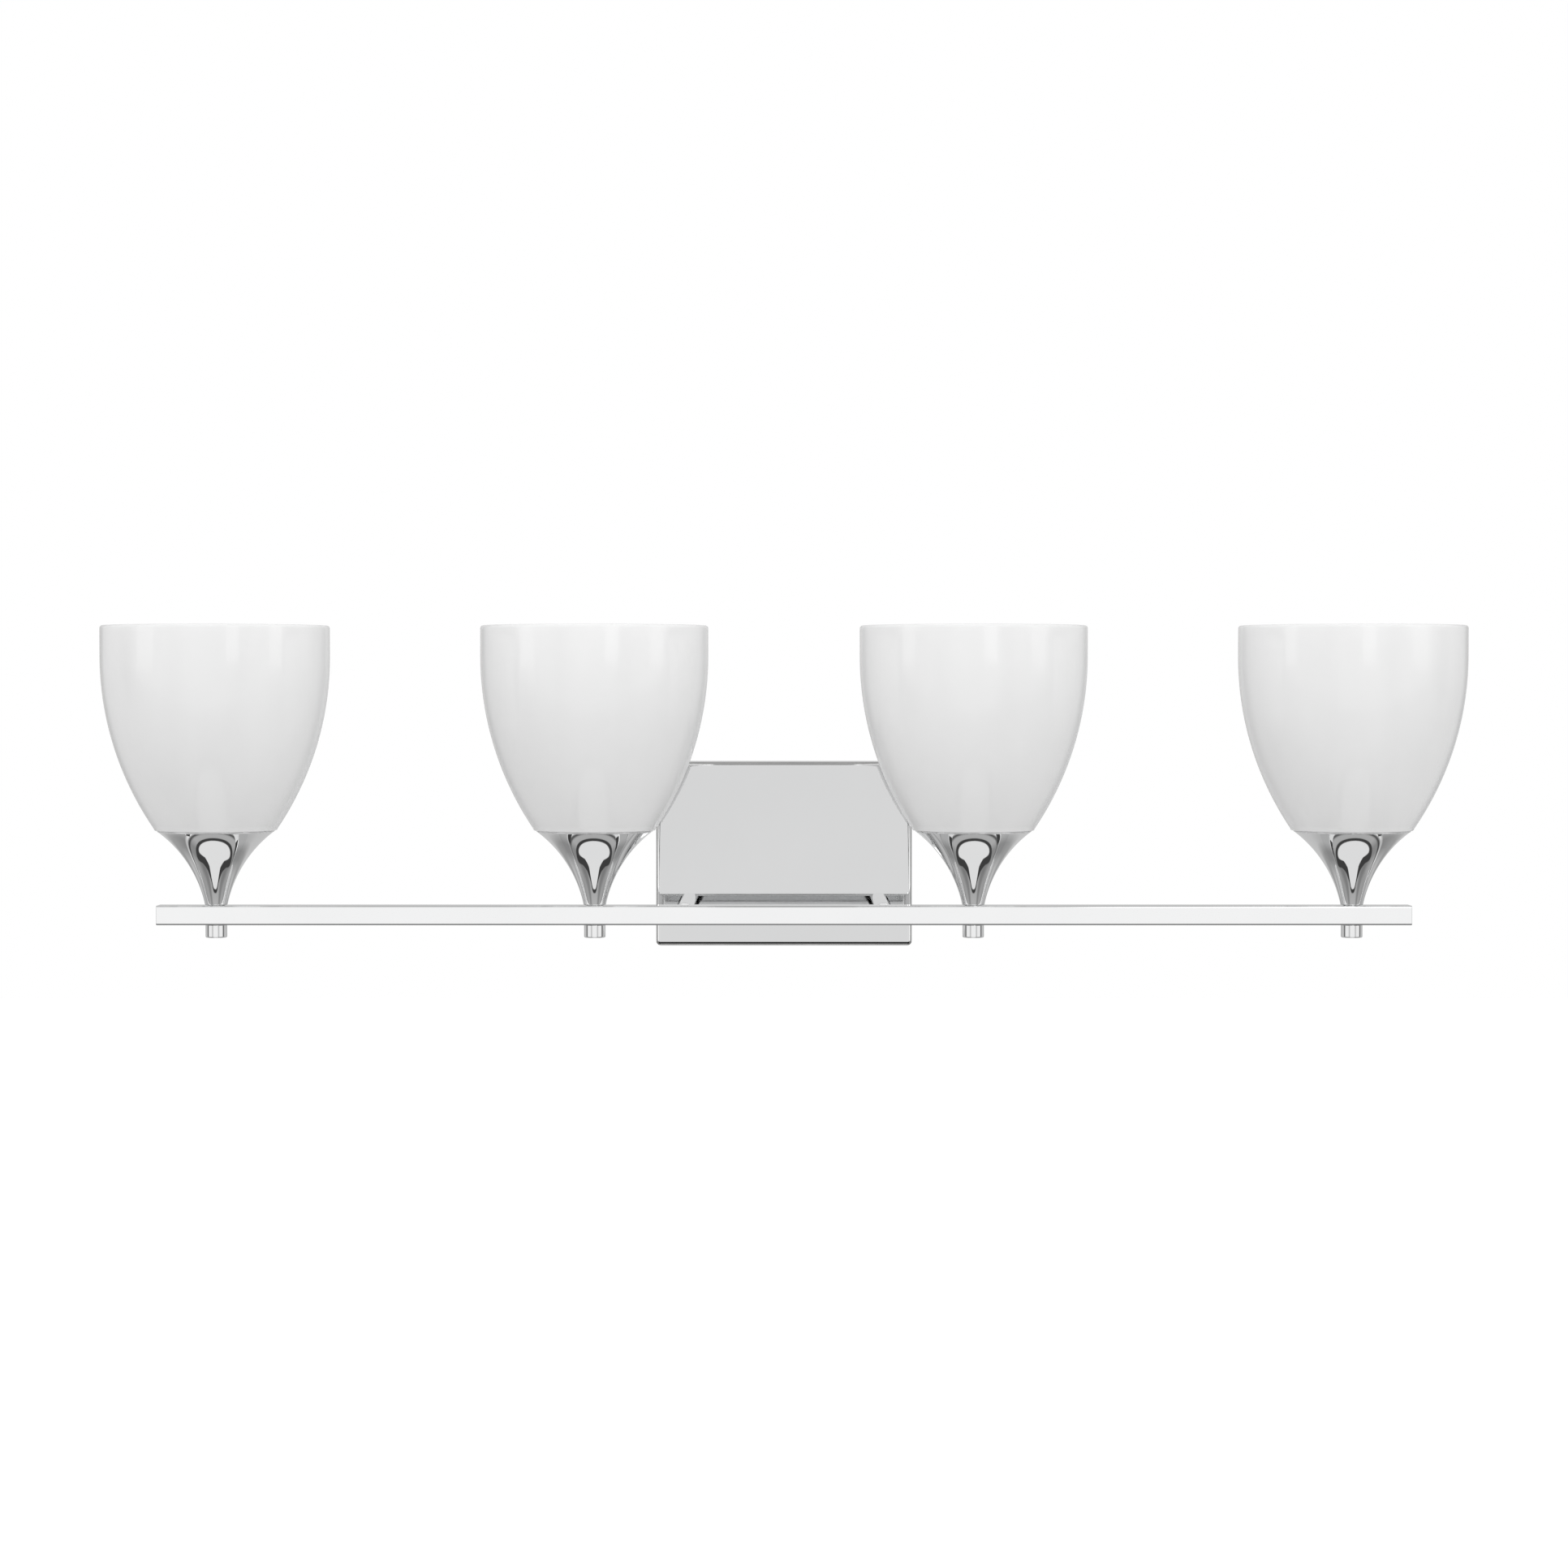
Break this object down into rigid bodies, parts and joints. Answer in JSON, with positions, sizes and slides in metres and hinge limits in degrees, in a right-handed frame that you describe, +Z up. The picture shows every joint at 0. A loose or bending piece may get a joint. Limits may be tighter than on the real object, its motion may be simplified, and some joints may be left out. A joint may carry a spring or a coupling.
{
  "type": "vanity light bar",
  "caption": "Chrome wall bar with upward opal glass bells in trumpet cups, two round arms and a rectangular wall pan.",
  "frame": {"origin": "on the wall plane, at the centre of the bracket's two box slots", "axes": "+X along the bar to the right as seen from the room, +Y into the wall, +Z up; the front faces -Y"},
  "size_m": [0.8766, 0.1651, 0.2108],
  "materials": {
    "polished_chrome": "polished",
    "zinc_steel": "zinc plated",
    "green_screw": "dyed",
    "opal_glass": "glossy opal white",
    "frosted_globe": "frosted",
    "lamp_base": "rolled",
    "porcelain": "glazed",
    "brass": "plain",
    "ring_metal": "satin",
    "silicone": "matte",
    "black_insulation": "PVC",
    "white_insulation": "PVC",
    "green_insulation": "PVC",
    "connector_plastic": "moulded"
  },
  "bodies": {
    "frame": {"backplate": "polished_chrome", "mounting_bracket": "zinc_steel", "ground_screw": "green_screw", "plate_set_screws": "polished_chrome", "arm_left": "polished_chrome", "arm_right": "polished_chrome", "arm_nipples": "zinc_steel", "arm_lock_washers": "zinc_steel", "arm_nuts": "zinc_steel", "bar_tube": "polished_chrome", "bar_end_cap_left": "polished_chrome", "bar_end_cap_right": "polished_chrome", "cup_1": "polished_chrome", "cup_2": "polished_chrome", "cup_3": "polished_chrome", "cup_4": "polished_chrome", "stem_1": "zinc_steel", "stem_2": "zinc_steel", "stem_3": "zinc_steel", "stem_4": "zinc_steel", "socket_1": "porcelain", "socket_2": "porcelain", "socket_3": "porcelain", "socket_4": "porcelain", "socket_shell_1": "brass", "socket_shell_2": "brass", "socket_shell_3": "brass", "socket_shell_4": "brass", "socket_contacts": "brass", "stem_nuts": "zinc_steel", "seat_discs": "zinc_steel", "seat_gaskets": "silicone", "lamp_leads_black": "black_insulation", "lamp_leads_white": "white_insulation", "ground_lead": "green_insulation", "wire_connectors": "connector_plastic"},
    "finial_body_1": {"finial_1": "polished_chrome"},
    "shade_body_1": {"glass_shade_1": "opal_glass"},
    "ring_body_1": {"shade_ring_1": "ring_metal"},
    "bulb_body_1": {"bulb_base_1": "lamp_base", "bulb_globe_1": "frosted_globe"},
    "finial_body_2": {"finial_2": "polished_chrome"},
    "shade_body_2": {"glass_shade_2": "opal_glass"},
    "ring_body_2": {"shade_ring_2": "ring_metal"},
    "bulb_body_2": {"bulb_base_2": "lamp_base", "bulb_globe_2": "frosted_globe"},
    "finial_body_3": {"finial_3": "polished_chrome"},
    "shade_body_3": {"glass_shade_3": "opal_glass"},
    "ring_body_3": {"shade_ring_3": "ring_metal"},
    "bulb_body_3": {"bulb_base_3": "lamp_base", "bulb_globe_3": "frosted_globe"},
    "finial_body_4": {"finial_4": "polished_chrome"},
    "shade_body_4": {"glass_shade_4": "opal_glass"},
    "ring_body_4": {"shade_ring_4": "ring_metal"},
    "bulb_body_4": {"bulb_base_4": "lamp_base", "bulb_globe_4": "frosted_globe"}
  },
  "joints": [
    {"name": "finial_spin_1", "type": "hinge", "parent": "frame", "child": "finial_body_1", "pos_m": [-0.36525, -0.092, -0.0465], "axis": [0, 0, 1], "continuous": true},
    {"name": "shade_lift_1", "type": "slide", "parent": "frame", "child": "shade_body_1", "axis": [0, 0, 1], "range_m": [0, 0.05]},
    {"name": "ring_lift_1", "type": "slide", "parent": "shade_body_1", "child": "ring_body_1", "axis": [0, 0, 1], "range_m": [0, 0.135]},
    {"name": "bulb_lift_1", "type": "slide", "parent": "ring_body_1", "child": "bulb_body_1", "axis": [0, 0, 1], "range_m": [0, 0.14]},
    {"name": "finial_spin_2", "type": "hinge", "parent": "frame", "child": "finial_body_2", "pos_m": [-0.12175, -0.092, -0.0465], "axis": [0, 0, 1], "continuous": true},
    {"name": "shade_lift_2", "type": "slide", "parent": "frame", "child": "shade_body_2", "axis": [0, 0, 1], "range_m": [0, 0.05]},
    {"name": "ring_lift_2", "type": "slide", "parent": "shade_body_2", "child": "ring_body_2", "axis": [0, 0, 1], "range_m": [0, 0.135]},
    {"name": "bulb_lift_2", "type": "slide", "parent": "ring_body_2", "child": "bulb_body_2", "axis": [0, 0, 1], "range_m": [0, 0.14]},
    {"name": "finial_spin_3", "type": "hinge", "parent": "frame", "child": "finial_body_3", "pos_m": [0.12175, -0.092, -0.0465], "axis": [0, 0, 1], "continuous": true},
    {"name": "shade_lift_3", "type": "slide", "parent": "frame", "child": "shade_body_3", "axis": [0, 0, 1], "range_m": [0, 0.05]},
    {"name": "ring_lift_3", "type": "slide", "parent": "shade_body_3", "child": "ring_body_3", "axis": [0, 0, 1], "range_m": [0, 0.135]},
    {"name": "bulb_lift_3", "type": "slide", "parent": "ring_body_3", "child": "bulb_body_3", "axis": [0, 0, 1], "range_m": [0, 0.14]},
    {"name": "finial_spin_4", "type": "hinge", "parent": "frame", "child": "finial_body_4", "pos_m": [0.36525, -0.092, -0.0465], "axis": [0, 0, 1], "continuous": true},
    {"name": "shade_lift_4", "type": "slide", "parent": "frame", "child": "shade_body_4", "axis": [0, 0, 1], "range_m": [0, 0.05]},
    {"name": "ring_lift_4", "type": "slide", "parent": "shade_body_4", "child": "ring_body_4", "axis": [0, 0, 1], "range_m": [0, 0.135]},
    {"name": "bulb_lift_4", "type": "slide", "parent": "ring_body_4", "child": "bulb_body_4", "axis": [0, 0, 1], "range_m": [0, 0.14]}
  ]
}
